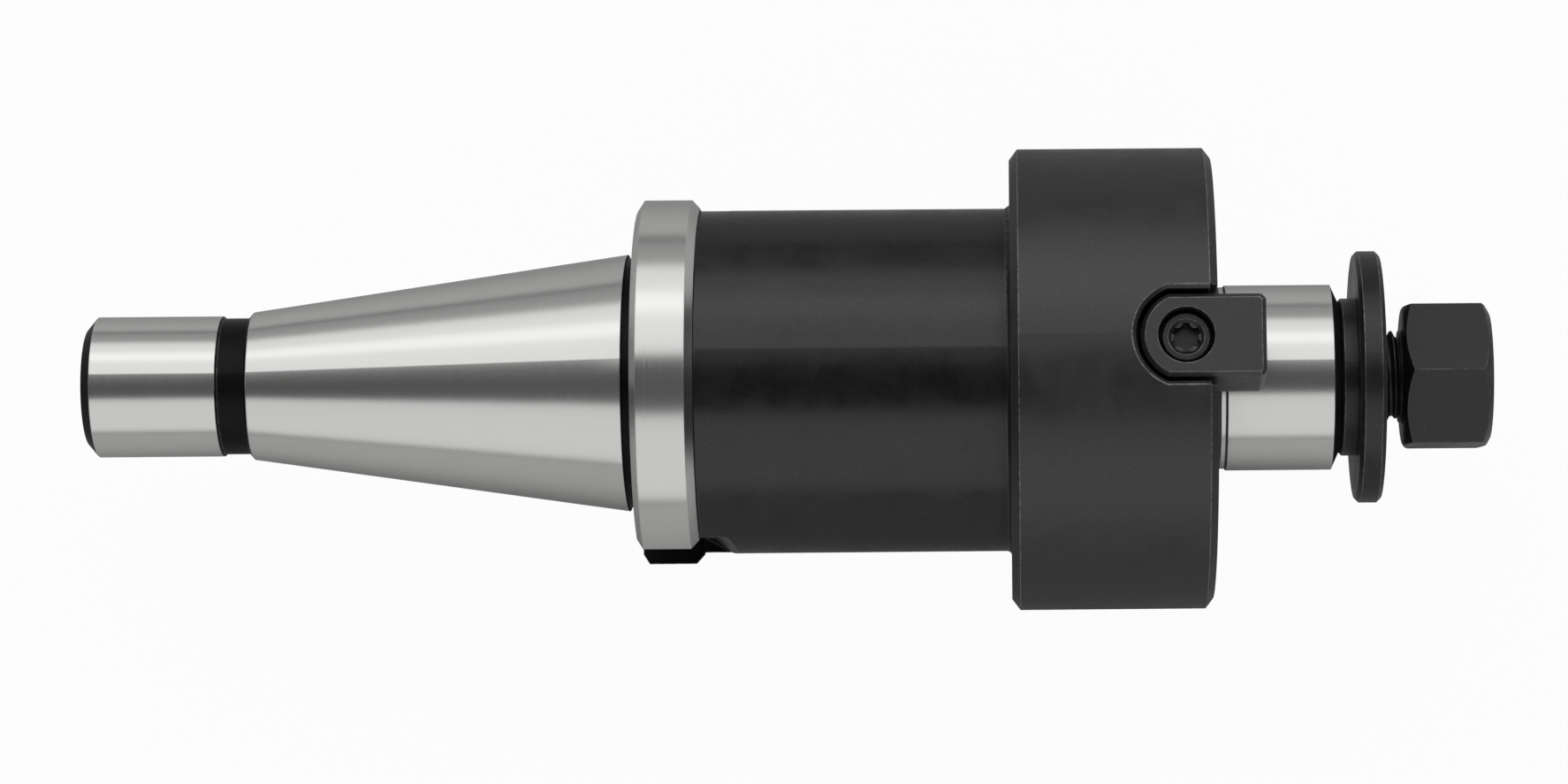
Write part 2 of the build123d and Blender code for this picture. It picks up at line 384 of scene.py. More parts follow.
def build_lathe_grain():
    """Group: fine lines round the axis, on cylinders, cones and faces alike."""
    tree, given, out = new_group(
        "lathe_grain",
        "ShaderNodeTree",
        [("Lines", "NodeSocketFloat", 9000.0), ("Streak", "NodeSocketFloat", 60.0)],
        [("Value", "NodeSocketFloat")],
    )
    axis = use_group(tree, "axis_place")
    parts = make_node(tree, "ShaderNodeSeparateXYZ", {0: object_place(tree)}).outputs
    profile = maths(tree, "ADD", axis["Along"], axis["Radius"])
    inputs = {
        0: maths(tree, "MULTIPLY", profile, given["Lines"]),
        1: maths(tree, "MULTIPLY", parts["Y"], given["Streak"]),
        2: maths(tree, "MULTIPLY", parts["Z"], given["Streak"]),
    }
    vector = make_node(tree, "ShaderNodeCombineXYZ", inputs).outputs[0]
    tree.links.new(grain_noise(tree, vector), out["Value"])


def build_brushed_grain():
    """Group: fine straight lines along the axis, as on a ground flat face."""
    tree, given, out = new_group(
        "brushed_grain",
        "ShaderNodeTree",
        [("Lines", "NodeSocketFloat", 9000.0), ("Streak", "NodeSocketFloat", 300.0)],
        [("Value", "NodeSocketFloat")],
    )
    inputs = {0: given["Streak"], 1: given["Lines"], 2: given["Lines"]}
    size = make_node(tree, "ShaderNodeCombineXYZ", inputs).outputs[0]
    inputs = {0: object_place(tree), 1: size}
    vector = make_node(tree, "ShaderNodeVectorMath", inputs, operation="MULTIPLY").outputs["Vector"]
    tree.links.new(grain_noise(tree, vector), out["Value"])


def build_mottle():
    """Group: the blotchy tone of a black oxide bath, and finer specks on top of it."""
    tree, given, out = new_group(
        "oxide_mottle",
        "ShaderNodeTree",
        [("Scale", "NodeSocketFloat", 140.0)],
        [("Tone", "NodeSocketFloat"), ("Specks", "NodeSocketFloat")],
    )
    times_finer = 22.0
    place = object_place(tree)
    inputs = {"Vector": place, "Scale": given["Scale"], "Detail": 5.0, "Roughness": 0.62, "Distortion": 0.4}
    tone = make_node(tree, "ShaderNodeTexNoise", inputs).outputs["Fac"]
    fine = maths(tree, "MULTIPLY", given["Scale"], times_finer)
    inputs = {"Vector": place, "Scale": fine, "Detail": 2.0, "Roughness": 0.7}
    specks = make_node(tree, "ShaderNodeTexNoise", inputs).outputs["Fac"]
    tree.links.new(tone, out["Tone"])
    tree.links.new(specks, out["Specks"])


def build_edge_wear_and_highlight():
    """Group: a broken mask along outer edges, for rubbed wear and a painted edge highlight, and the normal
    with those edges rounded off.
    """
    tree, given, out = new_group(
        "edge_wear",
        "ShaderNodeTree",
        [("Width", "NodeSocketFloat", 0.0002), ("Amount", "NodeSocketFloat", 0.6)],
        [("Mask", "NodeSocketFloat"), ("Normal", "NodeSocketVector")],
    )
    widths_of_reach = 4.0
    rounded = make_node(tree, "ShaderNodeBevel", {"Radius": given["Width"]}, samples=6).outputs[0]
    true_normal = make_node(tree, "ShaderNodeNewGeometry").outputs["Normal"]
    inputs = {0: rounded, 1: true_normal}
    alike = make_node(tree, "ShaderNodeVectorMath", inputs, operation="DOT_PRODUCT").outputs["Value"]
    edge = map_range(tree, alike, low=0.998, high=0.93)
    inputs = {"Distance": maths(tree, "MULTIPLY", given["Width"], widths_of_reach)}
    open_air = make_node(tree, "ShaderNodeAmbientOcclusion", inputs, samples=6, only_local=True)
    outer = map_range(tree, open_air.outputs["AO"], low=0.75, high=0.97)
    inputs = {"Vector": object_place(tree), "Scale": 900.0, "Detail": 4.0, "Roughness": 0.7}
    noise = make_node(tree, "ShaderNodeTexNoise", inputs).outputs["Fac"]
    broken = map_range(tree, noise, low=0.35, high=0.6, out_low=0.25)
    mask = maths(tree, "MULTIPLY", maths(tree, "MULTIPLY", edge, outer), broken)
    tree.links.new(maths(tree, "MULTIPLY", mask, given["Amount"], clamp=True), out["Mask"])
    tree.links.new(rounded, out["Normal"])


def new_material(name, colour):
    """An empty node material, its tree, and its Principled shader already linked to the output."""
    material = bpy.data.materials.new(name)
    material.use_nodes = True
    material.diffuse_color = opaque(colour)
    tree = material.node_tree
    tree.nodes.clear()
    shader = tree.nodes.new("ShaderNodeBsdfPrincipled")
    output = tree.nodes.new("ShaderNodeOutputMaterial")
    tree.links.new(shader.outputs[0], output.inputs["Surface"])
    return material, tree, shader


def turned_tangent(tree, shader, anisotropy):
    """Stretches highlights across lines that run round the axis."""
    quarter_turn = 0.25
    tangent = make_node(tree, "ShaderNodeTangent", direction_type="RADIAL", axis="X")
    tree.links.new(tangent.outputs[0], shader.inputs["Tangent"])
    shader.inputs["Anisotropic"].default_value = anisotropy
    shader.inputs["Anisotropic Rotation"].default_value = quarter_turn


def tint_grazing(shader, share):
    """Sets the share of light that the surface keeps at a grazing angle."""
    shader.inputs["Specular Tint"].default_value = opaque(plain_white, share)


def feed(tree, shader, colour, metallic, roughness, height, bump_depth, normal):
    """Sets or links colour, metal, roughness and a bumped normal on the shader."""
    inputs = {"Height": height, "Distance": bump_depth, "Strength": 1.0, "Normal": normal}
    bump = make_node(tree, "ShaderNodeBump", inputs).outputs[0]
    values = {"Base Color": colour, "Metallic": metallic, "Roughness": roughness, "Normal": bump}
    for name, value in values.items():
        if isinstance(value, bpy.types.NodeSocket):
            tree.links.new(value, shader.inputs[name])
        else:
            shader.inputs[name].default_value = value


def oxide_look(tree, finish, colour, roughness, wear_and_highlight_mask, grain):
    """Colour and roughness of black oxide, with its mottle, its grain and its rubbed edges, which also
    carry a painted highlight.
    """
    grain_share = 0.12
    mottle = use_group(tree, "oxide_mottle")
    blotches = mix_value(tree, mottle["Tone"], low=0.75, high=1.25)
    specks = map_range(tree, mottle["Specks"], low=0.58, high=0.78, out_low=1.0, out_high=1.6)
    inputs = {0: colour, "Scale": maths(tree, "MULTIPLY", blotches, specks)}
    toned = make_node(tree, "ShaderNodeVectorMath", inputs, operation="SCALE").outputs["Vector"]
    # Rubbed edges show bare steel, and the light colour also stands in as a painted edge highlight.
    colour_out = mix_colour(tree, wear_and_highlight_mask, toned, opaque(finish.worn_and_highlight_colour))
    tone = map_range(tree, mottle["Tone"], low=0.3, high=0.7, out_low=-0.05, out_high=0.06)
    swing = maths(tree, "MULTIPLY", maths(tree, "SUBTRACT", grain, 0.5), grain_share)
    spread = maths(tree, "ADD", tone, swing)
    return colour_out, maths(tree, "ADD", roughness, spread)


def arbor_masks(tree, zones):
    """Masks on the arbor body: its ground steel, the painted shade on the shank's unground chamfer and
    grooves and in the slots, and the neck.
    """
    rear = body_low.x
    shank_end = flange_rear - zones.relief_overlap
    flange_front = flange_rear + zones.flange_thickness

    def zone(start, end, inner_radius):
        """The mask of one stretch of the axis."""
        return use_group(tree, "turned_zone", From=start, To=end, Inner_Radius=inner_radius)["Mask"]

    ground = zone(rear + zones.pilot_chamfer, rear + zones.pilot_length, zones.bore_limit)
    for mask in (
        zone(-zones.taper_length, -zones.relief_overlap, zones.bore_limit),
        zone(shank_end, flange_front, zones.flange_inner_radius),
        zone(head_front + zones.pilot_relief, body_high.x - zones.nose_chamfer, zones.bore_limit),
    ):
        ground = maths(tree, "MAXIMUM", ground, mask)
    across = make_node(tree, "ShaderNodeSeparateXYZ", {0: object_place(tree)}).outputs["Z"]
    in_slot = maths(tree, "LESS_THAN", maths(tree, "ABSOLUTE", across), zones.slot_half_width)
    slot = maths(tree, "MULTIPLY", zone(shank_end, flange_front, zones.slot_inner_radius), in_slot)
    ground = maths(tree, "MULTIPLY", ground, maths(tree, "SUBTRACT", 1.0, slot))
    # Painted shade on the shank's unground chamfer and grooves, and in the flange slots.
    painted_shade = maths(tree, "MAXIMUM", zone(rear, shank_end, zones.bore_limit), slot)
    neck = zone(flange_front, head_front - zones.head_length, zones.bore_limit)
    return ground, painted_shade, neck


def arbor_material(finish, zones):
    """Ground steel on the pilots, taper and flange, black oxide everywhere else, and a near-black painted
    shade in the shank's grooves and the flange slots.
    """
    material, tree, shader = new_material("ground_and_blackened_steel", finish.steel_colour)
    ground, painted_shade, neck = arbor_masks(tree, zones)
    grain = use_group(tree, "lathe_grain", Lines=9000.0, Streak=45.0)["Value"]
    coarse = use_group(tree, "lathe_grain", Lines=1500.0, Streak=12.0)["Value"]
    # Edge mask for rubbed wear and a painted edge highlight; its normal rounds the edges off.
    wear_and_highlight = use_group(tree, "edge_wear", Width=0.00028, Amount=finish.wear_and_highlight)
    turned_black = mix_colour(tree, neck, opaque(finish.oxide_colour), opaque(finish.neck_colour))
    # Painted shade: the shank's grooves and the flange slots take the near-black.
    black = mix_colour(tree, painted_shade, turned_black, opaque(finish.painted_groove_shade_colour))
    black_rough = mix_value(tree, neck, finish.oxide_roughness, finish.neck_roughness)
    black_metallic = mix_value(tree, neck, finish.oxide_metallic, finish.neck_metallic)
    oxide, oxide_rough = oxide_look(tree, finish, black, black_rough, wear_and_highlight["Mask"], grain)
    fine_share = 0.7
    coarse_share = 0.3
    fine_part = maths(tree, "MULTIPLY", grain, fine_share)
    lines = maths(tree, "ADD", fine_part, maths(tree, "MULTIPLY", coarse, coarse_share))
    darkest = opaque(finish.steel_colour, 0.98)
    lightest = opaque(finish.steel_colour, 1.02)
    steel = mix_colour(tree, lines, darkest, lightest)
    smoothest = finish.steel_roughness - 0.02
    roughest = finish.steel_roughness + 0.025
    steel_rough = map_range(tree, lines, low=0.3, high=0.7, out_low=smoothest, out_high=roughest)
    feed(
        tree,
        shader,
        colour=mix_colour(tree, ground, oxide, steel),
        metallic=mix_value(tree, ground, black_metallic, 1.0),
        roughness=mix_value(tree, ground, oxide_rough, steel_rough),
        height=lines,
        bump_depth=0.0000003,
        normal=wear_and_highlight["Normal"],
    )
    turned_tangent(tree, shader, anisotropy=0.35)
    tint_grazing(shader, finish.grazing)
    return material


def blackened_material(name, finish, colour, grain_group, roughness_shift, grazing, turned):
    """Black oxide on a smaller piece, turned on a lathe or ground flat."""
    material, tree, shader = new_material(name, colour)
    grain = use_group(tree, grain_group)["Value"]
    # Edge mask for rubbed wear and a painted edge highlight; its normal rounds the edges off.
    wear_and_highlight = use_group(tree, "edge_wear", Width=0.00024, Amount=finish.wear_and_highlight)
    base_roughness = finish.oxide_roughness + roughness_shift
    oxide, roughness = oxide_look(tree, finish, colour, base_roughness, wear_and_highlight["Mask"], grain)
    feed(
        tree,
        shader,
        colour=oxide,
        metallic=0.8,
        roughness=roughness,
        height=grain,
        bump_depth=0.000003,
        normal=wear_and_highlight["Normal"],
    )
    tint_grazing(shader, grazing)
    if turned:
        turned_tangent(tree, shader, anisotropy=0.3)
    return material


def thread_steel_material(finish):
    """Bare cut steel inside the drawbar hole."""
    material, tree, shader = new_material("cut_thread_steel", finish.steel_colour)
    grain = use_group(tree, "lathe_grain")["Value"]
    darkest = opaque(finish.steel_colour, 0.45)
    lightest = opaque(finish.steel_colour, 0.7)
    feed(
        tree,
        shader,
        colour=mix_colour(tree, grain, darkest, lightest),
        metallic=1.0,
        roughness=0.36,
        height=grain,
        bump_depth=0.000002,
        normal=make_node(tree, "ShaderNodeNewGeometry").outputs["Normal"],
    )
    return material


def give_material(piece, material):
    """Sets a piece's only material."""
    piece.data.materials.clear()
    piece.data.materials.append(material)


def build_thread_tree():
    """Geometry nodes: a helical thread as one surface, for a screw or for a tapped hole."""
    tree, given, out = new_group(
        "screw_thread",
        "GeometryNodeTree",
        [
            ("Crest Radius", "NodeSocketFloat", 0.008),
            ("Root Radius", "NodeSocketFloat", 0.0069),
            ("End Radius", "NodeSocketFloat", 0.0069),
            ("Pitch", "NodeSocketFloat", 0.002),
            ("Start", "NodeSocketFloat", 0.0),
            ("Length", "NodeSocketFloat", 0.03),
            ("Run Out", "NodeSocketFloat", 0.001),
            ("Around", "NodeSocketInt", 120),
            ("Rings Per Turn", "NodeSocketInt", 14),
            ("Inside", "NodeSocketBool", False),
            ("Finish", "NodeSocketMaterial"),
        ],
        [("Geometry", "NodeSocketGeometry")],
    )
    tree.is_modifier = True
    turns = maths(tree, "DIVIDE", given["Length"], given["Pitch"])
    steps = maths(tree, "CEIL", maths(tree, "MULTIPLY", turns, given["Rings Per Turn"]))
    rings = maths(tree, "ADD", steps, 1.0)
    columns = maths(tree, "ADD", given["Around"], 1.0)
    inputs = {"Size X": given["Length"], "Size Y": 1.0, "Vertices X": rings, "Vertices Y": columns}
    grid = make_node(tree, "GeometryNodeMeshGrid", inputs).outputs["Mesh"]
    position = make_node(tree, "GeometryNodeInputPosition").outputs[0]
    flat = make_node(tree, "ShaderNodeSeparateXYZ", {0: position}).outputs
    along = maths(tree, "ADD", flat["X"], maths(tree, "MULTIPLY", given["Length"], 0.5))
    turn = flat["Y"]
    pitches = maths(tree, "DIVIDE", along, given["Pitch"])
    phase = maths(tree, "FRACT", maths(tree, "SUBTRACT", pitches, turn))
    wave = maths(tree, "MULTIPLY", maths(tree, "ABSOLUTE", maths(tree, "SUBTRACT", phase, 0.5)), 2.0)
    root_flat = 0.25
    crest_flat = 0.125
    ridge = make_node(tree, "ShaderNodeMapRange", {0: wave, 1: root_flat, 2: 1.0 - crest_flat}).outputs[0]
    thread = mix_value(tree, ridge, given["Root Radius"], given["Crest Radius"])
    from_end = maths(tree, "MINIMUM", along, maths(tree, "SUBTRACT", given["Length"], along))
    risen = maths(tree, "DIVIDE", from_end, given["Run Out"], clamp=True)
    radius = mix_value(tree, risen, given["End Radius"], thread)
    angle = maths(tree, "MULTIPLY", turn, math.tau)
    inputs = {
        0: maths(tree, "ADD", along, given["Start"]),
        1: maths(tree, "MULTIPLY", radius, maths(tree, "COSINE", angle)),
        2: maths(tree, "MULTIPLY", radius, maths(tree, "SINE", angle)),
    }
    place = make_node(tree, "ShaderNodeCombineXYZ", inputs).outputs[0]
    wound = make_node(tree, "GeometryNodeSetPosition", {"Geometry": grid, "Position": place}).outputs[0]
    inputs = {"Geometry": wound, "Distance": 0.000001}
    closed = make_node(tree, "GeometryNodeMergeByDistance", inputs).outputs[0]
    outside = make_node(tree, "FunctionNodeBooleanMath", {0: given["Inside"]}, operation="NOT").outputs[0]
    turned = make_node(tree, "GeometryNodeFlipFaces", {"Mesh": closed, "Selection": outside}).outputs[0]
    smooth = make_node(tree, "GeometryNodeSetShadeSmooth", {"Geometry": turned}).outputs[0]
    real = make_node(tree, "GeometryNodeRealizeInstances", {"Geometry": smooth}).outputs[0]
    inputs = {"Geometry": real, "Material": given["Finish"]}
    done = make_node(tree, "GeometryNodeSetMaterial", inputs).outputs[0]
    tree.links.new(done, out["Geometry"])


def grown_mesh(name, tree, **inputs):
    """The plain mesh that a geometry tree makes from its named inputs."""
    holder = bpy.data.objects.new(name, bpy.data.meshes.new(name))
    bpy.context.scene.collection.objects.link(holder)
    modifier = holder.modifiers.new(name, "NODES")
    modifier.node_group = tree
    sockets = {item.name: item.identifier for item in tree.interface.items_tree if item.in_out == "INPUT"}
    for key, value in inputs.items():
        modifier[sockets[key.replace("_", " ")]] = value
    shown = holder.evaluated_get(bpy.context.evaluated_depsgraph_get())
    mesh = bpy.data.meshes.new_from_object(shown)
    bpy.data.objects.remove(holder)
    return mesh


def add_piece(name, mesh, body):
    """An object at the origin that rides on a body."""
    piece = bpy.data.objects.new(name, mesh)
    bpy.context.scene.collection.objects.link(piece)
    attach(piece, body)
    return piece


def hexagon_radius(angle, across_flats, corner):
    """Distance from the axis to a hexagon's side, at an angle, with a corner at another."""
    sixth = math.pi / 3
    from_corner = (angle - corner) % sixth
    return across_flats / 2 / math.cos(from_corner - sixth / 2)


def bolt_head_rings(threads, underside, end):
    """Rings of (place, radius) pairs, one pair for each angle, from the screw's neck to its end face."""
    count = threads.around
    angles = [math.tau * (i / count - 0.5) for i in range(count)]
    wall = [hexagon_radius(a, threads.across_flats, threads.head_turn) for a in angles]
    slope = math.tan(math.radians(30))
    bearing = threads.bearing_radius
    top = threads.end_face_radius
    fillet = threads.head_fillet
    fillet_steps = 6
    rings = []
    for i in range(fillet_steps + 1):
        angle = math.pi / 2 * i / fillet_steps
        place = underside - fillet + fillet * math.sin(angle)
        rings.append([(place, threads.shank_radius + fillet - fillet * math.cos(angle))] * count)
    rings.append([(underside, bearing)] * count)
    rings.append([(underside + (r - bearing) * slope, r) for r in wall])
    rings.append([(end - (r - top) * slope, r) for r in wall])
    rings.append([(end, top)] * count)
    return angles, rings


def skin_rings(shape, grid):
    """Makes the faces between each ring of points and the next."""
    for here, there in zip(grid, grid[1:]):
        count = len(here)
        for i in range(count):
            following = (i + 1) % count
            shape.faces.new((here[i], here[following], there[following], there[i]))


def written_mesh(name, shape):
    """Writes a shape to a new mesh and frees the shape."""
    mesh = bpy.data.meshes.new(name)
    shape.to_mesh(mesh)
    shape.free()
    return mesh


def lathe_mesh(name, angles, rings, cap_first=False, cap_last=False):
    """A surface through rings of (place, radius) pairs about the axis."""
    shape = bmesh.new()
    grid = []
    for ring in rings:
        points = [(x, r * math.cos(a), r * math.sin(a)) for a, (x, r) in zip(angles, ring)]
        grid.append([shape.verts.new(point) for point in points])
    skin_rings(shape, grid)
    if cap_first:
        shape.faces.new(list(reversed(grid[0])))
    if cap_last:
        shape.faces.new(grid[-1])
    return written_mesh(name, shape)


def join_meshes(name, meshes, merge=0.000002):
    """One mesh from several, with their shared rims merged and faces turned outwards."""
    shape = bmesh.new()
    for mesh in meshes:
        shape.from_mesh(mesh)
        bpy.data.meshes.remove(mesh)
    bmesh.ops.remove_doubles(shape, verts=shape.verts, dist=merge)
    bmesh.ops.recalc_face_normals(shape, faces=shape.faces)
    return written_mesh(name, shape)


def pocket_path(pockets, inset, rear, front, steps=28):
    """Points of a pocket's outline, from its front end round the back to its other front end."""
    half = pockets.half_width - inset
    radius = pockets.end_radius - inset
    centre = rear + pockets.end_radius
    reach = math.asin(half / radius)
    angles = [math.pi + reach * (1 - 2 * i / steps) for i in range(steps + 1)]
    arc = [(centre + radius * math.cos(a), radius * math.sin(a)) for a in angles]
    return [(front, -half), *arc, (front, half)]


def pocket_rim_mesh(name, pockets, rear, front, head_radius, turn):
    """A closed strip with a chamfered top that lines a pocket's rim."""
    outer = pocket_path(pockets, 0.0, rear, front)
    inner = pocket_path(pockets, pockets.chamfer, rear, front)
    shape = bmesh.new()
    grid = []
    for (x, y), (inner_x, inner_y) in zip(outer, inner):
        top = math.sqrt(head_radius**2 - y**2)
        section = (
            (x, y, top),
            (inner_x, inner_y, top - pockets.chamfer),
            (inner_x, inner_y, top - pockets.depth),
            (x, y, top - pockets.depth),
        )
        grid.append([shape.verts.new(point) for point in section])
    skin_rings(shape, grid)
    shape.faces.new(grid[0])
    shape.faces.new(list(reversed(grid[-1])))
    bmesh.ops.recalc_face_normals(shape, faces=shape.faces)
    bmesh.ops.rotate(shape, verts=shape.verts, cent=(0, 0, 0), matrix=Matrix.Rotation(turn, 3, "X"))
    return written_mesh(name, shape)


def soften_edges(piece, width, sharp=35.0):
    """Rounds a piece's sharp edges, those over an angle in degrees, and shades the rest smooth."""
    bevel = piece.modifiers.new("edges", "BEVEL")
    bevel.width = width
    bevel.segments = 2
    bevel.limit_method = "ANGLE"
    bevel.angle_limit = math.radians(sharp)
    for polygon in piece.data.polygons:
        polygon.use_smooth = True
    piece.data.set_sharp_from_angle(angle=math.radians(sharp))


class ARBOR_OT_build_groups(bpy.types.Operator):
    """Builds the shader groups and the thread's geometry tree"""

    bl_idname = "arbor.build_groups"
    bl_label = "Build Node Groups"

    def execute(self, context):
        build_axis_place()
        build_turned_zone()
        build_lathe_grain()
        build_brushed_grain()
        build_mottle()
        build_edge_wear_and_highlight()
        build_thread_tree()
        return {"FINISHED"}


class ARBOR_OT_finish_body(bpy.types.Operator):
    """Finishes the arbor body in ground steel and black oxide"""

    bl_idname = "arbor.finish_body"
    bl_label = "Finish Arbor Body"

    def execute(self, context):
        scene = context.scene
        give_material(frame["nodes"]["arbor_body"], arbor_material(scene.arbor_finish, scene.arbor_zones))
        return {"FINISHED"}


class ARBOR_OT_drawbar_thread(bpy.types.Operator):
    """Cuts the thread inside the drawbar hole"""

    bl_idname = "arbor.drawbar_thread"
    bl_label = "Cut Drawbar Thread"

    def execute(self, context):
        scene = context.scene
        threads = scene.arbor_threads
        hole = mounts["drawbar_thread"]["dims"]
        wall_gap = 0.00002
        root = hole["r_mm"] * millimetre - wall_gap
        mesh = grown_mesh(
            "drawbar_thread",
            bpy.data.node_groups["screw_thread"],
            Crest_Radius=root - threads.depth,
            Root_Radius=root,
            End_Radius=root,
            Pitch=threads.pitch,
            Start=body_low.x + threads.counterbore,
            Length=hole["length_mm"] * millimetre,
            Run_Out=threads.pitch / 2,
            Around=threads.around,
            Rings_Per_Turn=threads.rings_per_turn,
            Inside=True,
            Finish=thread_steel_material(scene.arbor_finish),
        )
        add_piece("drawbar_thread", mesh, "arbor")
        return {"FINISHED"}


class ARBOR_OT_finish_keys(bpy.types.Operator):
    """Finishes the drive keys and their screws"""

    bl_idname = "arbor.finish_keys"
    bl_label = "Finish Drive Keys"

    def execute(self, context):
        finish = context.scene.arbor_finish
        key = blackened_material(
            "blackened_key", finish, finish.key_colour, "brushed_grain",
            roughness_shift=0.02, grazing=1.0, turned=False,
        )
        screw = blackened_material(
            "blackened_key_screw", finish, finish.screw_colour, "brushed_grain",
            roughness_shift=-0.06, grazing=0.8, turned=False,
        )
        for name, node in frame["nodes"].items():
            if name.startswith("drive_key"):
                give_material(node, key)
            elif name.startswith("key_screw"):
                give_material(node, screw)
        return {"FINISHED"}


class ARBOR_OT_pocket_rims(bpy.types.Operator):
    """Lines the rim of each key pocket with its chamfer"""

    bl_idname = "arbor.pocket_rims"
    bl_label = "Make Pocket Rims"

    def execute(self, context):
        pockets = context.scene.arbor_pockets
        key_low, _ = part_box("drive_key_1")
        rear = key_low.x - pockets.clearance
        front = head_front - pockets.front_gap
        finish = frame["nodes"]["arbor_body"].data.materials[0]
        for number, turn in ((1, 0.0), (2, math.pi)):
            name = f"pocket_rim_{number}"
            mesh = pocket_rim_mesh(name, pockets, rear, front, body_high.z, turn)
            piece = add_piece(name, mesh, "arbor")
            give_material(piece, finish)
            soften_edges(piece, width=0.00008, sharp=30.0)
        return {"FINISHED"}


class ARBOR_OT_clamp_screw(bpy.types.Operator):
    """Makes the threaded hexagon screw and finishes the washer"""

    bl_idname = "arbor.clamp_screw"
    bl_label = "Make Clamp Screw"

    def execute(self, context):
        scene = context.scene
        finish = scene.arbor_finish
        black = blackened_material(
            "blackened_clamp_screw", finish, finish.screw_colour, "lathe_grain",
            roughness_shift=-0.05, grazing=0.7, turned=True,
        )
        mesh = self.screw_mesh(scene.arbor_threads, black)
        piece = add_piece("threaded_clamp_screw", mesh, "screw")
        soften_edges(piece, width=0.00025)
        give_material(piece, black)
        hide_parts("clamp_screw")
        washer = blackened_material(
            "blackened_washer", finish, finish.screw_colour, "lathe_grain",
            roughness_shift=-0.10, grazing=0.7, turned=True,
        )
        give_material(frame["nodes"]["clamp_washer"], washer)
        return {"FINISHED"}

    def screw_mesh(self, threads, material):
        """The clamp screw's thread, head and tip as one mesh."""
        start = screw_low.x
        underside = screw_high.x - threads.head_height
        thread_end = underside - threads.head_fillet
        root = threads.shank_radius - threads.depth
        tip_radius = root * 0.6
        thread = grown_mesh(
            "clamp_screw_thread",
            bpy.data.node_groups["screw_thread"],
            Crest_Radius=threads.shank_radius,
            Root_Radius=root,
            End_Radius=root,
            Pitch=threads.pitch,
            Start=start,
            Length=thread_end - start,
            Run_Out=threads.pitch / 2,
            Around=threads.around,
            Rings_Per_Turn=threads.rings_per_turn,
            Inside=False,
            Finish=material,
        )
        angles, rings = bolt_head_rings(threads, underside, screw_high.x)
        rings.insert(0, [(thread_end, root)] * threads.around)
        head = lathe_mesh("clamp_screw_head", angles, rings, cap_last=True)
        tip_rings = [[(start, radius)] * threads.around for radius in (tip_radius, root)]
        tip = lathe_mesh("clamp_screw_tip", angles, tip_rings, cap_first=True)
        return join_meshes("threaded_clamp_screw", [thread, head, tip])


def add_lamp(name, place, target, size, power):
    """A rectangular soft lamp that looks at a point, its long side along the arbor."""
    data = bpy.data.lights.new(name, "AREA")
    data.shape = "RECTANGLE"
    data.size, data.size_y = size
    data.energy = power
    lamp = bpy.data.objects.new(name, data)
    bpy.context.scene.collection.objects.link(lamp)
    lamp.location = place
    lamp.rotation_euler = (target - place).to_track_quat("-Z", "Y").to_euler()


def white_to_camera(tree, shader, level):
    """Mixes a shader with plain white where the camera sees it."""
    seen = make_node(tree, "ShaderNodeLightPath").outputs["Is Camera Ray"]
    white = make_node(tree, "ShaderNodeEmission", {"Color": plain_white, "Strength": 1.0}).outputs[0]
    factor = maths(tree, "MULTIPLY", seen, level)
    return make_node(tree, "ShaderNodeMixShader", {0: factor, 1: shader, 2: white}).outputs[0]


def camera_axes(stage):
    """The direction from the object to the camera, and the picture's upward direction."""
    rise = stage.elevation
    return Vector((0, -math.cos(rise), math.sin(rise))), Vector((0, math.sin(rise), math.cos(rise)))


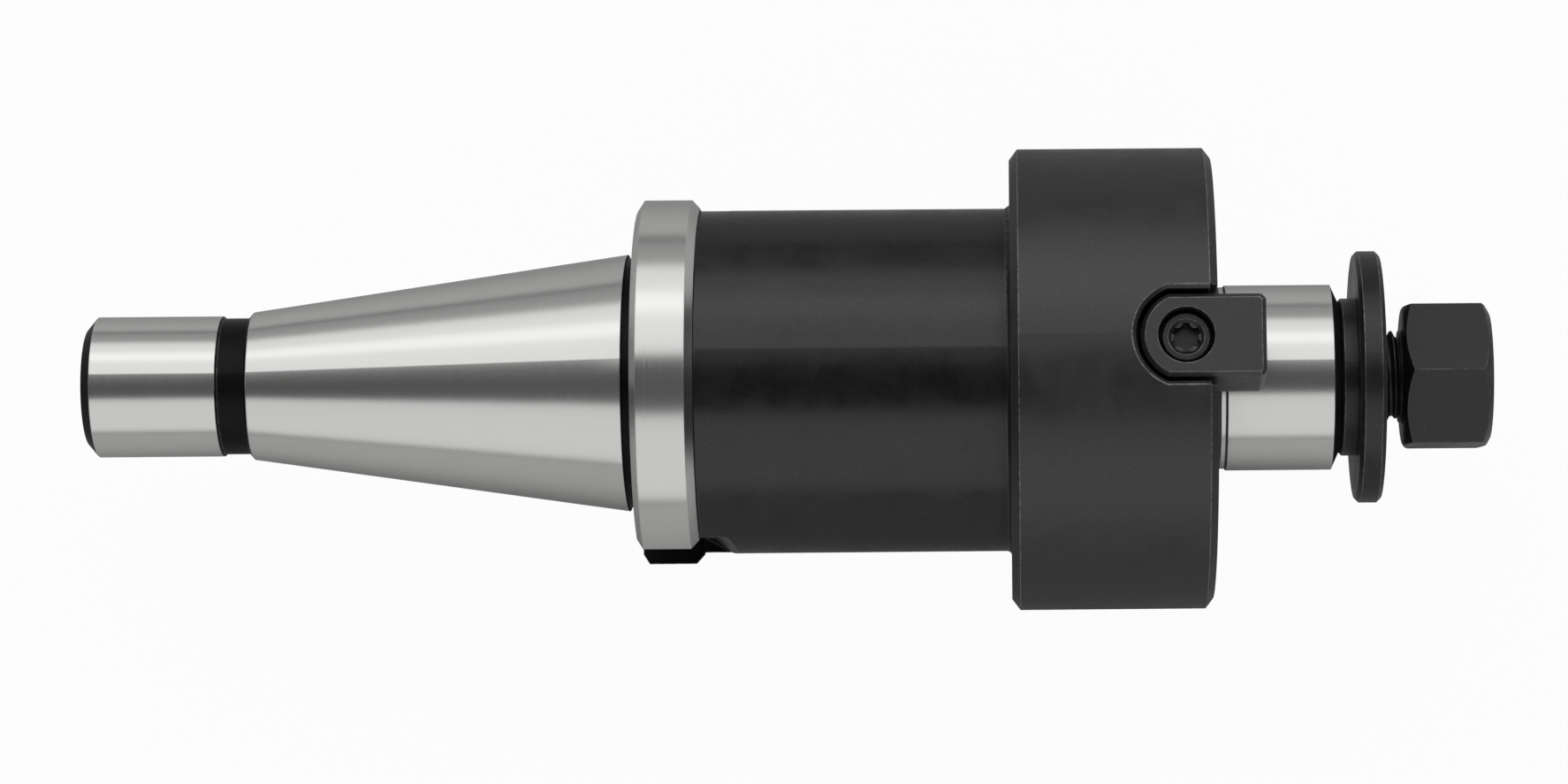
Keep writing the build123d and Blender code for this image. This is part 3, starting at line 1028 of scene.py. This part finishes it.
class ARBOR_OT_stage(bpy.types.Operator):
    """Adds the floor, the world, the lamps and the camera"""

    bl_idname = "arbor.stage"
    bl_label = "Set The Stage"

    def execute(self, context):
        scene = context.scene
        stage = scene.arbor_stage
        self.add_floor(stage)
        self.set_world(scene)
        self.add_lamps(stage)
        self.add_camera(scene, stage)
        scene.view_settings.view_transform = "Standard"
        return {"FINISHED"}

    def add_floor(self, stage):
        """A plain floor that the head rests on."""
        half = stage.floor_size / 2
        mesh = bpy.data.meshes.new("floor")
        corners = [(-half, -half), (half, -half), (half, half), (-half, half)]
        mesh.from_pydata([(x, y, body_low.z) for x, y in corners], [], [(0, 1, 2, 3)])
        floor = bpy.data.objects.new("floor", mesh)
        bpy.context.scene.collection.objects.link(floor)
        material = bpy.data.materials.new("pale_floor")
        material.use_nodes = True
        tree = material.node_tree
        tree.nodes.clear()
        inputs = {"Base Color": opaque(stage.floor_colour), "Roughness": 0.8}
        matt = make_node(tree, "ShaderNodeBsdfPrincipled", inputs).outputs[0]
        output = tree.nodes.new("ShaderNodeOutputMaterial")
        tree.links.new(white_to_camera(tree, matt, level=0.96), output.inputs["Surface"])
        give_material(floor, material)

    def set_world(self, scene):
        """Dim grey light from all round, and white where the camera sees past the floor."""
        world = bpy.data.worlds.new("studio")
        scene.world = world
        world.use_nodes = True
        tree = world.node_tree
        tree.nodes.clear()
        seen = make_node(tree, "ShaderNodeLightPath").outputs["Is Camera Ray"]
        dim = make_node(tree, "ShaderNodeBackground", {"Color": plain_white, "Strength": 0.10}).outputs[0]
        white = make_node(tree, "ShaderNodeBackground", {"Color": plain_white, "Strength": 1.0}).outputs[0]
        mixed = make_node(tree, "ShaderNodeMixShader", {0: seen, 1: dim, 2: white}).outputs[0]
        output = tree.nodes.new("ShaderNodeOutputWorld")
        tree.links.new(mixed, output.inputs["Surface"])

    def add_lamps(self, stage):
        """Long panels side by side above and below the camera's line, and a square one at each end."""
        back, up = camera_axes(stage)
        middle = (cad_box[0] + cad_box[1]) / 2
        distance = 0.9
        length = 1.6
        # Each row has a name, the angles from the camera's line between which it lies, and its radiance.
        long_panels = (
            ("upper_fill", 78, 99, 0.29),
            ("upper_panel", 58, 78, 0.95),
            ("upper_strip", 44, 58, 1.32),
            ("middle_panel", 17, 44, 1.0),
            ("lower_panel", -48, -19, 0.76),
            ("lower_fill", -78, -48, 0.76),
        )
        for name, low, high, radiance in long_panels:
            turn = math.radians((low + high) / 2)
            place = middle + (back * math.cos(turn) + up * math.sin(turn)) * distance
            width = 2 * distance * math.tan(math.radians((high - low) / 2))
            power = radiance * math.pi * length * width
            add_lamp(name, place, middle, (length, width), power * stage.lamp_level)
        # Each row has a name, the end it stands at, its rise as a share of the distance, and its radiance.
        end_panels = (("left_panel", -1, 0.3, 0.35), ("right_panel", 1, 0.5, 0.8))
        side_length = 0.6
        for name, end, rise, radiance in end_panels:
            place = middle + Vector((end * distance, 0, 0)) + (back + up) * rise * distance
            power = radiance * math.pi * side_length * side_length
            add_lamp(name, place, middle, (side_length, side_length), power * stage.lamp_level)

    def add_camera(self, scene, stage):
        """Looks down over the head's rear face, with the frame shifted to hold the whole arbor."""
        back, up = camera_axes(stage)
        data = bpy.data.cameras.new("camera")
        data.lens = stage.lens
        data.shift_x = stage.shift_along
        data.shift_y = stage.shift_across
        data.clip_start = 0.01
        camera = bpy.data.objects.new("camera", data)
        scene.collection.objects.link(camera)
        place = Vector((stage.foot, 0, 0)) + back * stage.distance
        behind = back * math.cos(stage.yaw) - Vector((1, 0, 0)) * math.sin(stage.yaw)
        right = up.cross(behind).normalized()
        turned = Matrix((right, behind.cross(right), behind)).transposed().to_4x4()
        camera.matrix_world = Matrix.Translation(place) @ turned @ Matrix.Rotation(stage.roll, 4, "Z")
        scene.camera = camera


class ARBOR_PT_panel(bpy.types.Panel):
    """Lists the arbor's operators and settings"""

    bl_idname = "ARBOR_PT_panel"
    bl_label = "Shell Mill Arbor"
    bl_space_type = "VIEW_3D"
    bl_region_type = "UI"
    bl_category = "Arbor"

    def draw(self, context):
        for operator in OPERATORS:
            self.layout.operator(operator.bl_idname)
        for name in SETTINGS:
            settings = getattr(context.scene, name)
            box = self.layout.box()
            for key in settings.bl_rna.properties.keys():
                if key not in ("rna_type", "name"):
                    box.prop(settings, key)


OPERATORS = (
    ARBOR_OT_build_groups,
    ARBOR_OT_finish_body,
    ARBOR_OT_drawbar_thread,
    ARBOR_OT_finish_keys,
    ARBOR_OT_pocket_rims,
    ARBOR_OT_clamp_screw,
    ARBOR_OT_stage,
)
SETTINGS = {
    "arbor_finish": ArborFinish,
    "arbor_zones": ArborZones,
    "arbor_threads": ArborThreads,
    "arbor_pockets": ArborPockets,
    "arbor_stage": ArborStage,
}


def register():
    """Registers the settings, the operators and the panel."""
    for name, settings in SETTINGS.items():
        bpy.utils.register_class(settings)
        setattr(bpy.types.Scene, name, PointerProperty(type=settings))
    for operator in OPERATORS:
        bpy.utils.register_class(operator)
    bpy.utils.register_class(ARBOR_PT_panel)


def unregister():
    """Takes them out again."""
    bpy.utils.unregister_class(ARBOR_PT_panel)
    for operator in reversed(OPERATORS):
        bpy.utils.unregister_class(operator)
    for name, settings in SETTINGS.items():
        delattr(bpy.types.Scene, name)
        bpy.utils.unregister_class(settings)


def main():
    """Runs every operator."""
    register()
    bpy.ops.arbor.build_groups()
    bpy.ops.arbor.finish_body()
    bpy.ops.arbor.drawbar_thread()
    bpy.ops.arbor.finish_keys()
    bpy.ops.arbor.pocket_rims()
    bpy.ops.arbor.clamp_screw()
    bpy.ops.arbor.stage()


if __name__ == "__main__":
    main()
